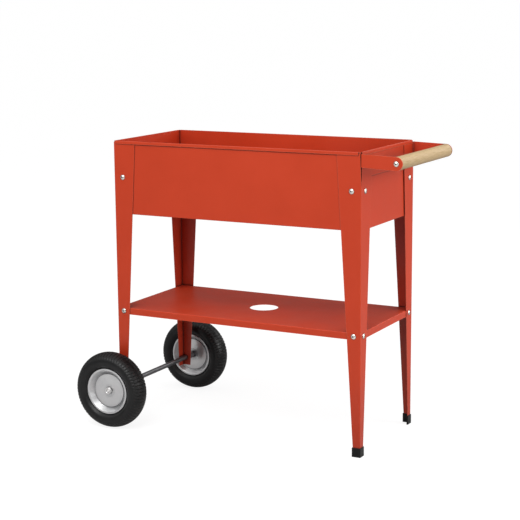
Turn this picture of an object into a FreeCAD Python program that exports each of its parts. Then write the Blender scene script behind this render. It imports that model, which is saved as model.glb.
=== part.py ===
import FreeCAD, Part
import math
import os
import Sketcher

# A two-wheeled raised planter cart: a sheet-steel trough and shelf on four folded legs,
# with a wooden push handle at one end and two disc wheels on one axle at the other.
# Millimetres. +Z is up and +X runs from the wheels to the handle; the -Y side is called
# left and the +Y side right. The origin is on the floor, under the middle of the cart's box.

os.makedirs("parts", exist_ok=True)
doc = FreeCAD.newDocument("planter_cart")

# ---------------------------------------------------------------- driving dimensions
# alias: value, what it is
DIMENSIONS = {
    "wheel_end_x": (-381.5, "outer face of the legs at the wheel end"),
    "handle_end_x": (368.5, "outer face of the legs at the handle end"),
    "half_width": (176.15, "outer face of the legs, from the middle plane"),
    "skin": (1.2, "thickness of all folded sheet except the handle bracket"),
    "bend_round": (1.0, "outside radius of the tight folds"),
    # trough
    "rim_top": (806.0, "top of the trough rim above the floor"),
    "trough_bottom": (602.5, "underside of the trough above the floor"),
    "lip_height": (8.0, "how far the folded rim hangs down outside"),
    "lip_reach": (2.8, "how far the folded rim stands out from its panel"),
    "lip_relief": (4.5, "the rim stops this far short of each panel end"),
    "seat_flange": (12.0, "width of the inward flange that carries the floor"),
    "floor_gap": (0.4, "gap round the loose floor sheet"),
    "drain_radius": (4.0, "drain holes in the floor sheet"),
    "drain_pitch_x": (170.0, "spacing of the drain holes along the trough"),
    "drain_row_y": (80.0, "distance of each drain row from the middle plane"),
    # legs
    "foot_width": (19.3, "width that a leg flange would have at floor level"),
    "leg_taper": (0.062, "growth of the flange width per millimetre of height"),
    "leg_top": (803.0, "top of the flanges that reach up inside the rim"),
    "low_flange_top": (797.5, "top of the bracket and of the flanges over it"),
    "wheel_leg_bottom": (85.0, "bottom of the two legs that carry the axle"),
    "handle_leg_bottom": (2.5, "bottom of the two legs that stand in foot caps"),
    "fold_round": (2.0, "outside radius of the long fold of a leg"),
    "slit_bottom": (707.0, "where the corner slit for the handle arm starts"),
    "slit_side": (3.2, "width of the slit in the side flange at its top"),
    "slit_end": (8.2, "width of the slit in the end flange at its top"),
    # fasteners
    "trough_bolt_z": (705.0, "height of the bolts through leg and trough"),
    "trough_bolt_inset": (27.0, "their distance from the leg corner"),
    "shelf_bolt_z": (325.0, "height of the bolts through leg and shelf"),
    "shelf_bolt_inset": (20.0, "their distance from the leg corner"),
    "bolt_radius": (3.0, "M6 shank"),
    "bolt_length": (12.0, "shank length under the head"),
    "bolt_hole": (3.25, "radius of the holes for M6"),
    "head_radius": (6.8, "domed head"),
    "head_height": (3.6, "domed head"),
    "dome_radius": (9.9, "radius of the head's dome"),
    "socket_radius": (2.3, "corner radius of the hexagon socket"),
    "socket_depth": (2.0, "depth of the hexagon socket"),
    "washer_radius": (6.4, "M6 washer"),
    "washer_skin": (1.6, "M6 washer"),
    "nut_radius": (5.77, "corner radius of a 10 mm hexagon"),
    "nut_height": (5.0, "M6 nut"),
    "nut_bore": (3.08, "bore of the nut over the shank"),
    "screw_length": (34.0, "shank of the screws into the wooden grip"),
    # shelf
    "shelf_top": (334.3, "top face of the shelf"),
    "shelf_depth": (18.5, "height of its turned-down edges"),
    "shelf_hole": (40.0, "radius of the round hole in the middle"),
    # handle
    "plate": (2.0, "thickness of the handle bracket"),
    "plate_bottom": (740.0, "lower edge of the bracket between the legs"),
    "ear_bottom": (690.0, "lower end of its two bolted ears"),
    "ear_width": (44.0, "width of an ear"),
    "bracket_bend": (5.0, "outside radius of the bracket's two folds"),
    "arm_top": (801.5, "upper edge of an arm at its fold"),
    "arm_bottom": (767.4, "lower edge of an arm at its fold"),
    "grip_reach": (95.0, "middle of the grip from the handle-end legs"),
    "grip_z": (781.0, "middle of the grip above the floor"),
    "grip_radius": (17.5, "grip and rounded arm ends"),
    "grip_round": (2.0, "rounding of the grip's ends"),
    "grip_bore": (3.05, "bores of the grip for its screws"),
    # foot caps
    "cap_height": (25.0, "height of a foot cap"),
    "cap_wall": (1.5, "its wall"),
    "cap_length": (21.2, "length of the pocket for a leg flange"),
    "cap_play": (0.1, "play round the leg in the pocket"),
    # axle and wheels
    "axle_inset": (8.5, "axle centre from the wheel-end leg corner"),
    "axle_z": (108.0, "axle centre above the floor"),
    "axle_radius": (7.0, "14 mm rod"),
    "axle_hole": (7.1, "hole in the legs"),
    "wheel_offset": (55.0, "middle plane of a wheel from the leg's outer face"),
    "tyre_radius": (108.0, "equal to the axle height, so the tyre touches the floor"),
    "tyre_half": (33.0, "half the tyre's width"),
    "tyre_widest": (84.0, "radius at which the tyre is widest"),
    "crown_round": (44.0, "section radius of the tread"),
    "tyre_bore": (56.35, "bore of the tyre"),
    "bead_half": (17.3, "half width of the tyre at its bore"),
    "bead_toe": (60.95, "radius where the bore flares out to the bead"),
    "bead_step": (22.0, "half width of the tyre under the rim edge"),
    "bead_radius": (65.9, "where the sidewall leaves the rim"),
    "rim_radius": (65.4, "outside of the pressed disc"),
    "rim_half": (25.0, "rim face of a disc from the middle plane"),
    "rim_edge": (2.7, "depth of the disc's rolled edge"),
    "ring_radius": (60.0, "inside of the flat ring of a disc"),
    "dish_radius": (50.0, "outside of the sunken face of a disc"),
    "dish_depth": (12.0, "depth of the sunken face"),
    "dish_shift": (0.6, "radial shift of the back of the cone"),
    "barrel_radius": (56.2, "outside of the barrel that seats the tyre"),
    "barrel_half": (16.3, "half length of the barrel"),
    "hub_radius": (10.0, "outside of the hub tube"),
    "hub_bore": (8.5, "bore of the hub tube"),
    "disc_bore": (10.05, "hole of a disc on the hub tube"),
    "hub_inner_end": (17.0, "inner end of the hub tube from the middle plane"),
    "bush_radius": (8.45, "outside of a bush"),
    "bush_bore": (7.05, "bore of a bush, running on the axle"),
    "bush_length": (12.0, "length of a bush in the hub tube"),
    "bush_flange": (1.5, "thickness of a bush's flange"),
    "end_play": (0.4, "play at each end of a hub"),
    "spacer_radius": (9.5, "outside of the spacer tube"),
    "sleeve_bore": (7.02, "bore of spacers, washers and caps on the fixed axle"),
    "axle_washer_radius": (13.0, "washers between an axle leg and its spacer"),
    "axle_washer_skin": (1.6, "their thickness"),
    "dome_height": (6.0, "height of an axle cap"),
    "dome_depth": (2.6, "how far the axle enters its cap"),
    "dome_round": (14.0, "sphere radius of an axle cap"),
}

dims = doc.addObject("Spreadsheet::Sheet", "dims")
for row, (alias, (number, note)) in enumerate(DIMENSIONS.items(), start=1):
    dims.set("A%d" % row, alias)
    dims.set("B%d" % row, str(number))
    dims.set("C%d" % row, note)
    dims.setAlias("B%d" % row, alias)
doc.recompute()


class Size:
    """A number together with the spreadsheet expression that gives it."""

    def __init__(self, number, text):
        self.number = float(number)
        self.text = text

    def _join(self, other, sign, number):
        other = other if isinstance(other, Size) else Size(other, repr(float(other)))
        return Size(number(self.number, other.number),
                    "(%s %s %s)" % (self.text, sign, other.text))

    def __add__(self, other):
        return self._join(other, "+", lambda a, b: a + b)

    def __sub__(self, other):
        return self._join(other, "-", lambda a, b: a - b)

    def __mul__(self, other):
        return self._join(other, "*", lambda a, b: a * b)

    def __truediv__(self, other):
        return self._join(other, "/", lambda a, b: a / b)

    def __neg__(self):
        return Size(-self.number, "(-1 * %s)" % self.text)


class Sizes:
    """Every driving dimension as an attribute, such as d.skin."""

    def __getattr__(self, alias):
        return Size(DIMENSIONS[alias][0], "dims.%s" % alias)


d = Sizes()
ZERO = Size(0, "0")


# ---------------------------------------------------------------- modelling helpers
def bind(thing, prop, size):
    thing.setExpression(prop, size.text)


def place(thing, x=ZERO, y=ZERO, z=ZERO, rotation=None):
    base = FreeCAD.Vector(x.number, y.number, z.number)
    thing.Placement = FreeCAD.Placement(base, rotation or FreeCAD.Rotation())
    for axis, size in (("x", x), ("y", y), ("z", z)):
        bind(thing, "Placement.Base." + axis, size)


def turn(angle):
    return FreeCAD.Rotation(FreeCAD.Vector(0, 0, 1), angle)


def aim(x, y, z):
    """The rotation that takes +Z to the given direction."""
    return FreeCAD.Rotation(FreeCAD.Vector(0, 0, 1), FreeCAD.Vector(x, y, z))


def new_body(label):
    body = doc.addObject("PartDesign::Body", label)
    body.Label = label
    return body


def new_sketch(body, plane, lift=None):
    """An empty sketch on one of the body's origin planes, raised along its normal."""
    sketch = body.newObject("Sketcher::SketchObject", body.Name + "_sketch")
    support = [f for f in body.Origin.OriginFeatures if f.Role == plane + "_Plane"][0]
    sketch.AttachmentSupport = [(support, "")]
    sketch.MapMode = "FlatFace"
    if lift is not None:
        sketch.AttachmentOffset.Base = FreeCAD.Vector(0, 0, lift.number)
        bind(sketch, "AttachmentOffset.Base.z", lift)
    return sketch


def fix_point(sketch, geometry, end, u, v):
    """Tie one point of a sketch to the sheet, measured from the sketch's origin."""
    for kind, size, axis in (("DistanceX", u, -2), ("DistanceY", v, -1)):
        if abs(size.number) < 1e-9:
            sketch.addConstraint(Sketcher.Constraint("PointOnObject", geometry, end, axis))
            continue
        if size.number > 0:
            ends = (-1, 1, geometry, end)
        else:
            ends = (geometry, end, -1, 1)
            size = -size
        index = sketch.addConstraint(Sketcher.Constraint(kind, *ends, size.number))
        bind(sketch, "Constraints[%d]" % index, size)


def draw_polygon(sketch, points):
    """A closed outline through points given as pairs of sizes."""
    first = sketch.GeometryCount
    corners = [FreeCAD.Vector(u.number, v.number, 0) for u, v in points]
    for here, there in zip(corners, corners[1:] + corners[:1]):
        sketch.addGeometry(Part.LineSegment(here, there))
    for index in range(len(points)):
        after = (index + 1) % len(points)
        sketch.addConstraint(
            Sketcher.Constraint("Coincident", first + index, 2, first + after, 1))
    for index, (u, v) in enumerate(points):
        fix_point(sketch, first + index, 1, u, v)
    return sketch


def draw_rectangle(sketch, u_low, u_high, v_low, v_high):
    return draw_polygon(
        sketch, [(u_low, v_low), (u_high, v_low), (u_high, v_high), (u_low, v_high)])


def draw_circles(sketch, radius, centres):
    normal = FreeCAD.Vector(0, 0, 1)
    for u, v in centres:
        middle = FreeCAD.Vector(u.number, v.number, 0)
        index = sketch.addGeometry(Part.Circle(middle, normal, radius.number))
        fix_point(sketch, index, 3, u, v)
        round_size = sketch.addConstraint(
            Sketcher.Constraint("Radius", index, radius.number))
        bind(sketch, "Constraints[%d]" % round_size, radius)
    return sketch


def pad(body, sketch, length, both_ways=False, backwards=False):
    feature = body.newObject("PartDesign::Pad", body.Name + "_pad")
    feature.Profile = sketch
    feature.Midplane = both_ways
    feature.Reversed = backwards
    bind(feature, "Length", length)
    body.Tip = feature
    return feature


def cut_through(body, sketch):
    """Cut the sketch out of everything before and behind its plane."""
    doc.recompute()
    before = body.Shape.Volume
    feature = body.newObject("PartDesign::Pocket", body.Name + "_cut")
    feature.Profile = sketch
    feature.Midplane = True
    feature.Type = "ThroughAll"
    body.Tip = feature
    doc.recompute()
    if body.Shape.Volume >= before:
        raise RuntimeError(body.Label + ": a cut removed nothing")
    return feature


def cut_depth(body, sketch, depth, backwards=False):
    doc.recompute()
    before = body.Shape.Volume
    feature = body.newObject("PartDesign::Pocket", body.Name + "_pocket")
    feature.Profile = sketch
    feature.Reversed = backwards
    bind(feature, "Length", depth)
    body.Tip = feature
    doc.recompute()
    if body.Shape.Volume >= before:
        raise RuntimeError(body.Label + ": a pocket removed nothing")
    return feature


def round_edges(body, radius, wanted):
    """Fillet the edges whose middle satisfies wanted(x, y, z)."""
    doc.recompute()
    base = body.Tip
    names = []
    for index, edge in enumerate(base.Shape.Edges, start=1):
        middle = edge.CenterOfMass
        if wanted(middle.x, middle.y, middle.z):
            names.append("Edge%d" % index)
    if not names:
        raise RuntimeError(body.Label + ": no edge to round")
    feature = body.newObject("PartDesign::Fillet", body.Name + "_round")
    feature.Base = (base, names)
    bind(feature, "Radius", radius)
    body.Tip = feature
    return feature


def near(value, target):
    return abs(value - target) < 1e-4


def revolve(body, sketch):
    """Turn a sketch on the XZ plane round the body's Z axis."""
    feature = body.newObject("PartDesign::Revolution", body.Name + "_turned")
    feature.Profile = sketch
    feature.ReferenceAxis = (sketch, ["V_Axis"])
    feature.Angle = 360
    body.Tip = feature
    return feature


def cylinder(name, radius, height, low=ZERO):
    rod = doc.addObject("Part::Cylinder", name)
    bind(rod, "Radius", radius)
    bind(rod, "Height", height)
    place(rod, z=low)
    return rod


def prism(name, radius, height, low=ZERO):
    hexagon = doc.addObject("Part::Prism", name)
    hexagon.Polygon = 6
    bind(hexagon, "Circumradius", radius)
    bind(hexagon, "Height", height)
    place(hexagon, z=low)
    return hexagon


def sphere(name, radius, middle):
    ball = doc.addObject("Part::Sphere", name)
    bind(ball, "Radius", radius)
    place(ball, z=middle)
    return ball


def boolean(kind, name, base, tool):
    result = doc.addObject("Part::" + kind, name)
    result.Base = base
    result.Tool = tool
    return result


def group(label, master, placements):
    """One node that holds the same solid at several places."""
    doc.recompute()
    node = doc.addObject("Part::Feature", label)
    node.Label = label
    node.Shape = Part.Compound([master.Shape.transformed(p.Matrix) for p in placements])
    return node


def at(x, y, z, rotation):
    return FreeCAD.Placement(
        FreeCAD.Vector(x.number, y.number, z.number), rotation)


nodes = []

# positions that several pieces share
panel_side_y = d.half_width - d.skin
panel_wheel_x = d.wheel_end_x + d.skin
panel_handle_x = d.handle_end_x - d.skin - d.plate
trough_height = d.rim_top - d.trough_bottom
trough_middle_x = (panel_wheel_x + panel_handle_x) / 2
trough_length = panel_handle_x - panel_wheel_x
fold_inside = d.fold_round - d.skin
axle_x = d.wheel_end_x + d.axle_inset
bolt_y = d.half_width - d.trough_bolt_inset


# ---------------------------------------------------------------- trough
def panel(label, length, flange_relief, hole_u):
    """A trough wall: X along it, +Y outwards, Z up, origin at its outer bottom edge."""
    body = new_body(label)
    top = trough_height
    inner = -d.skin
    wall = draw_rectangle(new_sketch(body, "YZ"), inner, ZERO, ZERO, top)
    pad(body, wall, length, both_ways=True)
    lip = draw_polygon(new_sketch(body, "YZ"), [
        (ZERO, top - d.skin),
        (d.lip_reach - d.skin, top - d.skin),
        (d.lip_reach - d.skin, top - d.lip_height),
        (d.lip_reach, top - d.lip_height),
        (d.lip_reach, top),
        (ZERO, top)])
    pad(body, lip, length - d.lip_relief * 2, both_ways=True)
    seat = draw_rectangle(new_sketch(body, "YZ"), -d.seat_flange, inner, ZERO, d.skin)
    pad(body, seat, length - flange_relief * 2, both_ways=True)
    high = top.number
    reach = d.lip_reach.number
    round_edges(body, d.bend_round, lambda x, y, z: near(z, high) and near(y, reach))
    round_edges(body, d.bend_round, lambda x, y, z: near(z, 0) and near(y, 0))
    holes = new_sketch(body, "XZ")
    draw_circles(holes, d.bolt_hole, [(u, d.trough_bolt_z - d.trough_bottom) for u in hole_u])
    cut_through(body, holes)
    nodes.append(body)
    return body


wheel_bolt_u = d.wheel_end_x + d.trough_bolt_inset - trough_middle_x
handle_bolt_u = d.handle_end_x - d.trough_bolt_inset - trough_middle_x
# the side panels stop short of the legs' inner folds
side_length = trough_length - fold_inside * 2
side_relief = d.skin - fold_inside
for label, side, angle in (("side_panel_left", -1, 180), ("side_panel_right", 1, 0)):
    wall = panel(label, side_length, side_relief, [wheel_bolt_u * side, handle_bolt_u * side])
    place(wall, trough_middle_x, panel_side_y * side, d.trough_bottom, turn(angle))

# the end panels stand between the side panels, and their floor flanges between the side flanges
end_length = (panel_side_y - d.skin) * 2
for label, x, angle in (("end_panel_wheel", panel_wheel_x, 90),
                        ("end_panel_handle", panel_handle_x, -90)):
    wall = panel(label, end_length, d.seat_flange, [-bolt_y, bolt_y])
    place(wall, x, ZERO, d.trough_bottom, turn(angle))


def floor_sheet():
    body = new_body("trough_floor")
    half_x = trough_length / 2 - d.skin - d.floor_gap
    half_y = panel_side_y - d.skin - d.floor_gap
    pad(body, draw_rectangle(new_sketch(body, "XY"), -half_x, half_x, -half_y, half_y), d.skin)
    centres = []
    for column in (-1.5, -0.5, 0.5, 1.5):
        for row in (-1, 1):
            centres.append((d.drain_pitch_x * column, d.drain_row_y * row))
    cut_through(body, draw_circles(new_sketch(body, "XY"), d.drain_radius, centres))
    place(body, trough_middle_x, ZERO, d.trough_bottom + d.skin)
    nodes.append(body)


floor_sheet()


# ---------------------------------------------------------------- legs
def flange_width(height):
    return d.foot_width + d.leg_taper * height


def flange_outline(sketch, low, high, slit):
    """A tapered flange; a slit leans away from the corner above slit_bottom."""
    points = [(ZERO, low), (flange_width(low), low), (flange_width(high), high)]
    if slit is None:
        points.append((ZERO, high))
    else:
        points += [(slit, high), (ZERO, d.slit_bottom)]
    return draw_polygon(sketch, points)


def leg(label, low, x_flange, y_flange):
    """A folded corner leg: origin at its outer corner, flanges along +X and +Y.

    Each flange is (top, slit, holes): holes are (radius, inset, height)."""
    body = new_body(label)
    tall = flange_outline(new_sketch(body, "XZ"), low, x_flange[0], x_flange[1])
    pad(body, tall, d.skin, backwards=True)
    tall = flange_outline(new_sketch(body, "YZ"), low, y_flange[0], y_flange[1])
    pad(body, tall, d.skin)
    thin = d.skin.number
    round_edges(body, d.fold_round, lambda x, y, z: near(x, 0) and near(y, 0))
    round_edges(body, fold_inside, lambda x, y, z: near(x, thin) and near(y, thin))
    for plane, flange in (("XZ", x_flange), ("YZ", y_flange)):
        for radius, inset, height in flange[2]:
            hole = draw_circles(new_sketch(body, plane), radius, [(inset, height)])
            cut_depth(body, hole, d.skin * 3, backwards=plane == "YZ")
    nodes.append(body)
    return body


bolt_holes = [(d.bolt_hole, d.trough_bolt_inset, d.trough_bolt_z),
              (d.bolt_hole, d.shelf_bolt_inset, d.shelf_bolt_z)]
axle_holes = bolt_holes + [(d.axle_hole, d.axle_inset, d.axle_z)]
side_slit = (d.leg_top, d.slit_side, bolt_holes)
end_slit = (d.low_flange_top, d.slit_end, bolt_holes)
plain_end = (d.leg_top, None, bolt_holes)
axle_side = (d.leg_top, None, axle_holes)
LEGS = (
    ("leg_wheel_left", d.wheel_leg_bottom, axle_side, plain_end, d.wheel_end_x, -1, 0),
    ("leg_handle_left", d.handle_leg_bottom, end_slit, side_slit, d.handle_end_x, -1, 90),
    ("leg_handle_right", d.handle_leg_bottom, side_slit, end_slit, d.handle_end_x, 1, 180),
    ("leg_wheel_right", d.wheel_leg_bottom, plain_end, axle_side, d.wheel_end_x, 1, 270),
)
for label, low, x_flange, y_flange, x, side, angle in LEGS:
    place(leg(label, low, x_flange, y_flange), x, d.half_width * side, ZERO, turn(angle))


# ---------------------------------------------------------------- shelf
def shelf():
    body = new_body("shelf")
    half_x = (d.handle_end_x - d.wheel_end_x) / 2 - d.skin
    half_y = d.half_width - d.skin
    block = draw_rectangle(new_sketch(body, "XY"), -half_x, half_x, -half_y, half_y)
    pad(body, block, d.shelf_depth)
    round_edges(body, d.fold_round, lambda x, y, z: z > 0)
    hollow_x = half_x - d.skin
    hollow_y = half_y - d.skin
    hollow = draw_rectangle(new_sketch(body, "XY"), -hollow_x, hollow_x, -hollow_y, hollow_y)
    cut_depth(body, hollow, d.shelf_depth - d.skin, backwards=True)
    cut_through(body, draw_circles(new_sketch(body, "XY"), d.shelf_hole, [(ZERO, ZERO)]))
    height = d.shelf_bolt_z - d.shelf_top + d.shelf_depth
    for plane, reach in (("XZ", half_x), ("YZ", half_y)):
        inset = reach + d.skin - d.shelf_bolt_inset
        spots = [(-inset, height), (inset, height)]
        cut_through(body, draw_circles(new_sketch(body, plane), d.bolt_hole, spots))
    place(body, (d.handle_end_x + d.wheel_end_x) / 2, ZERO, d.shelf_top - d.shelf_depth)
    nodes.append(body)


shelf()


# ---------------------------------------------------------------- handle
def handle_bracket():
    """One bent plate: origin at floor level on the end panel's outer face."""
    body = new_body("handle_bracket")
    edge = d.half_width - d.bracket_bend
    ear = edge - d.ear_width
    outline = [(-edge, d.ear_bottom), (-ear, d.ear_bottom), (-ear, d.plate_bottom),
               (ear, d.plate_bottom), (ear, d.ear_bottom), (edge, d.ear_bottom),
               (edge, d.low_flange_top), (-edge, d.low_flange_top)]
    pad(body, draw_polygon(new_sketch(body, "YZ"), outline), d.plate)
    grip_x = d.grip_reach + d.handle_end_x - panel_handle_x
    for side in (-1, 1):
        fold = new_sketch(body, "XY", lift=d.arm_bottom)
        draw_fold(fold, d.bracket_bend, edge, side)
        pad(body, fold, d.arm_top - d.arm_bottom)
        # the right arm's plate starts at its outer face and grows inwards, as the left one's does
        arm = new_sketch(body, "XZ", lift=-(d.half_width * side))
        draw_arm(arm, d.bracket_bend, grip_x)
        pad(body, arm, d.plate, backwards=side < 0)
    holes = [(-bolt_y, d.trough_bolt_z), (bolt_y, d.trough_bolt_z)]
    cut_through(body, draw_circles(new_sketch(body, "YZ"), d.bolt_hole, holes))
    cut_through(body, draw_circles(new_sketch(body, "XZ"), d.bolt_hole, [(grip_x, d.grip_z)]))
    place(body, panel_handle_x)
    nodes.append(body)


def draw_fold(sketch, outside, edge, side):
    """A quarter ring that turns the plate at x = 0 into an arm along +X."""
    inside = outside - d.plate
    up = FreeCAD.Vector(0, 0, 1)
    middle = FreeCAD.Vector(outside.number, side * edge.number, 0)
    start, end = (math.pi, 1.5 * math.pi) if side < 0 else (0.5 * math.pi, math.pi)
    for radius in (outside, inside):
        circle = Part.Circle(middle, up, radius.number)
        index = sketch.addGeometry(Part.ArcOfCircle(circle, start, end))
        bound = sketch.addConstraint(Sketcher.Constraint("Radius", index, radius.number))
        bind(sketch, "Constraints[%d]" % bound, radius)
    fix_point(sketch, 0, 3, outside, edge * side)
    sketch.addConstraint(Sketcher.Constraint("Coincident", 0, 3, 1, 3))
    # the ends on the plate lie level with the centre, those on the arm straight beside it
    plate_end, arm_end = (1, 2) if side < 0 else (2, 1)
    for arc in (0, 1):
        sketch.addConstraint(Sketcher.Constraint("Horizontal", arc, 3, arc, plate_end))
        sketch.addConstraint(Sketcher.Constraint("Vertical", arc, 3, arc, arm_end))
    for end_point in (1, 2):
        here = sketch.getPoint(0, end_point)
        there = sketch.getPoint(1, end_point)
        index = sketch.addGeometry(Part.LineSegment(here, there))
        sketch.addConstraint(Sketcher.Constraint("Coincident", index, 1, 0, end_point))
        sketch.addConstraint(Sketcher.Constraint("Coincident", index, 2, 1, end_point))


def draw_arm(sketch, root_x, grip_x):
    """An arm seen from the side: slightly falling edges and a round end."""
    high = FreeCAD.Vector(grip_x.number, d.grip_z.number + d.grip_radius.number, 0)
    low = FreeCAD.Vector(grip_x.number, d.grip_z.number - d.grip_radius.number, 0)
    root_high = FreeCAD.Vector(root_x.number, d.arm_top.number, 0)
    root_low = FreeCAD.Vector(root_x.number, d.arm_bottom.number, 0)
    for here, there in ((root_low, low), (high, root_high), (root_high, root_low)):
        sketch.addGeometry(Part.LineSegment(here, there))
    middle = FreeCAD.Vector(grip_x.number, d.grip_z.number, 0)
    circle = Part.Circle(middle, FreeCAD.Vector(0, 0, 1), d.grip_radius.number)
    sketch.addGeometry(Part.ArcOfCircle(circle, -0.5 * math.pi, 0.5 * math.pi))
    for one, one_end, two, two_end in ((0, 2, 3, 1), (3, 2, 1, 1), (1, 2, 2, 1), (2, 2, 0, 1)):
        sketch.addConstraint(Sketcher.Constraint("Coincident", one, one_end, two, two_end))
    fix_point(sketch, 0, 1, root_x, d.arm_bottom)
    fix_point(sketch, 1, 2, root_x, d.arm_top)
    fix_point(sketch, 3, 3, grip_x, d.grip_z)
    fix_point(sketch, 3, 1, grip_x, d.grip_z - d.grip_radius)
    sketch.addConstraint(Sketcher.Constraint("Vertical", 3, 2, 3, 3))


def handle_grip():
    """The wooden bar between the arms, bored at both ends for its screws."""
    body = new_body("handle_grip")
    half = d.half_width - d.plate
    pad(body, draw_circles(new_sketch(body, "XZ"), d.grip_radius, [(ZERO, ZERO)]),
        half * 2, both_ways=True)
    round_edges(body, d.grip_round, lambda x, y, z: near(abs(y), half.number))
    depth = d.screw_length - d.plate + d.end_play
    for side in (-1, 1):
        bore = new_sketch(body, "XZ", lift=-(half * side))
        draw_circles(bore, d.grip_bore, [(ZERO, ZERO)])
        cut_depth(body, bore, depth, backwards=side > 0)
    place(body, d.handle_end_x + d.grip_reach, ZERO, d.grip_z)
    nodes.append(body)


handle_bracket()
handle_grip()


# ---------------------------------------------------------------- fasteners
def domed_bolt(name, shank):
    """A domed head with a hexagon socket: it sits on z = 0 and its shank points down."""
    disc = cylinder(name + "_disc", d.head_radius, d.head_height)
    ball = sphere(name + "_ball", d.dome_radius, d.head_height - d.dome_radius)
    head = boolean("Common", name + "_dome", disc, ball)
    rod = cylinder(name + "_shank", d.bolt_radius, shank, -shank)
    whole = boolean("Fuse", name + "_blank", head, rod)
    recess = prism(name + "_socket", d.socket_radius, d.socket_depth,
                   d.head_height - d.socket_depth)
    return boolean("Cut", name, whole, recess)


def ring(name, outside, bore, height, low=ZERO):
    return boolean("Cut", name, cylinder(name + "_outer", outside, height, low),
                   cylinder(name + "_bore", bore, height, low))


trough_bolt = domed_bolt("bolt_pattern_piece", d.bolt_length)
grip_screw = domed_bolt("screw_pattern_piece", d.screw_length)
washer = ring("washer_pattern_piece", d.washer_radius, d.bolt_hole, d.washer_skin)
nut = boolean("Cut", "nut_pattern_piece", prism("nut_outer", d.nut_radius, d.nut_height),
              cylinder("nut_bore", d.nut_bore, d.nut_height))


def joint_sites(inset, height, bracket):
    """Where leg bolts sit: point on the leg, outward direction and stack thickness."""
    sites = []
    for side in (-1, 1):
        for x in (d.wheel_end_x + inset, d.handle_end_x - inset):
            sites.append(((x, d.half_width * side, height), (0, side, 0), d.skin * 2))
        y = (d.half_width - inset) * side
        sites.append(((d.wheel_end_x, y, height), (-1, 0, 0), d.skin * 2))
        sites.append(((d.handle_end_x, y, height), (1, 0, 0), d.skin * 2 + bracket))
    return sites


def stacked(sites, depth_of):
    """Placements on the sites, moved inwards by the depth that depth_of gives."""
    placements = []
    for point, outward, stack in sites:
        depth = depth_of(stack)
        moved = [here - depth * step for here, step in zip(point, outward)]
        placements.append(at(*moved, aim(*outward)))
    return placements


for label, inset, height, bracket in (
        ("trough", d.trough_bolt_inset, d.trough_bolt_z, d.plate),
        ("shelf", d.shelf_bolt_inset, d.shelf_bolt_z, ZERO)):
    sites = joint_sites(inset, height, bracket)
    nodes.append(group(label + "_bolts", trough_bolt, stacked(sites, lambda stack: ZERO)))
    nodes.append(group(label + "_washers", washer,
                       stacked(sites, lambda stack: stack + d.washer_skin)))
    nodes.append(group(label + "_nuts", nut,
                       stacked(sites, lambda stack: stack + d.washer_skin + d.nut_height)))

grip_ends = [((d.handle_end_x + d.grip_reach, d.half_width * side, d.grip_z),
              (0, side, 0), ZERO) for side in (-1, 1)]
nodes.append(group("handle_screws", grip_screw, stacked(grip_ends, lambda stack: ZERO)))


# ---------------------------------------------------------------- foot caps
def foot_cap(label):
    """A moulded sleeve for an L-shaped leg end: origin at the leg's corner, on the floor."""
    body = new_body(label)
    rim = d.cap_wall + d.cap_play
    thick = d.skin + rim
    reach = d.cap_length + rim
    pad(body, draw_corner(new_sketch(body, "XY"), -rim, thick, reach), d.cap_height)
    round_edges(body, d.cap_wall, lambda x, y, z: near(x, -rim.number) and near(y, -rim.number))
    pocket = new_sketch(body, "XY", lift=d.cap_height)
    inside = d.skin + d.cap_play
    draw_corner(pocket, -d.cap_play, inside, d.cap_length + d.cap_play)
    cut_depth(body, pocket, d.cap_height - d.handle_leg_bottom)
    nodes.append(body)
    return body


def draw_corner(sketch, outer, inner, reach):
    """An L with its inner corner cut off at the width of a leg's inner fold."""
    eased = inner + fold_inside
    return draw_polygon(sketch, [(outer, outer), (reach, outer), (reach, inner), (eased, inner),
                                 (inner, eased), (inner, reach), (outer, reach)])


for label, side, angle in (("foot_cap_left", -1, 90), ("foot_cap_right", 1, 180)):
    place(foot_cap(label), d.handle_end_x, d.half_width * side, ZERO, turn(angle))


# ---------------------------------------------------------------- axle
face_height = d.rim_half - d.dish_depth
outer_bush_face = face_height + d.bush_flange
inner_bush_face = d.hub_inner_end + d.bush_flange
cap_base = outer_bush_face + d.end_play
wheel_y = d.half_width + d.wheel_offset


def axle_rod():
    body = new_body("axle")
    half = wheel_y + cap_base + d.dome_depth
    pad(body, draw_circles(new_sketch(body, "XZ"), d.axle_radius, [(ZERO, ZERO)]),
        half * 2, both_ways=True)
    round_edges(body, d.bend_round, lambda x, y, z: near(abs(y), half.number))
    place(body, axle_x, ZERO, d.axle_z)
    nodes.append(body)


def axle_cap_piece():
    disc = cylinder("cap_disc", d.hub_radius, d.dome_height)
    ball = sphere("cap_ball", d.dome_round, d.dome_height - d.dome_round)
    return boolean("Cut", "cap_pattern_piece", boolean("Common", "cap_dome", disc, ball),
                   cylinder("cap_bore", d.sleeve_bore, d.dome_depth + d.end_play))


axle_rod()
axle_cap = axle_cap_piece()
axle_washer = ring("axle_washer_piece", d.axle_washer_radius, d.sleeve_bore, d.axle_washer_skin)
spacer_length = d.wheel_offset - inner_bush_face - d.end_play - d.axle_washer_skin
spacer = ring("spacer_piece", d.spacer_radius, d.sleeve_bore, spacer_length)


def along_axle(side, y, towards=1):
    """A placement on the axle at distance y from the middle plane, +Z pointing outwards."""
    return at(axle_x, y * side, d.axle_z, aim(0, side * towards, 0))


both = (-1, 1)
nodes.append(group("axle_washers", axle_washer, [
    along_axle(side, d.half_width) for side in both]))
nodes.append(group("axle_spacers", spacer, [
    along_axle(side, d.half_width + d.axle_washer_skin) for side in both]))
nodes.append(group("axle_caps", axle_cap, [
    along_axle(side, wheel_y + cap_base) for side in both]))


# ---------------------------------------------------------------- wheels
def on_wheel(body, side, flip=1):
    """Put a turned piece on the axle: its +Z points outwards, or inwards if flipped."""
    place(body, axle_x, wheel_y * side, d.axle_z, aim(0, side * flip, 0))
    nodes.append(body)


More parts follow.
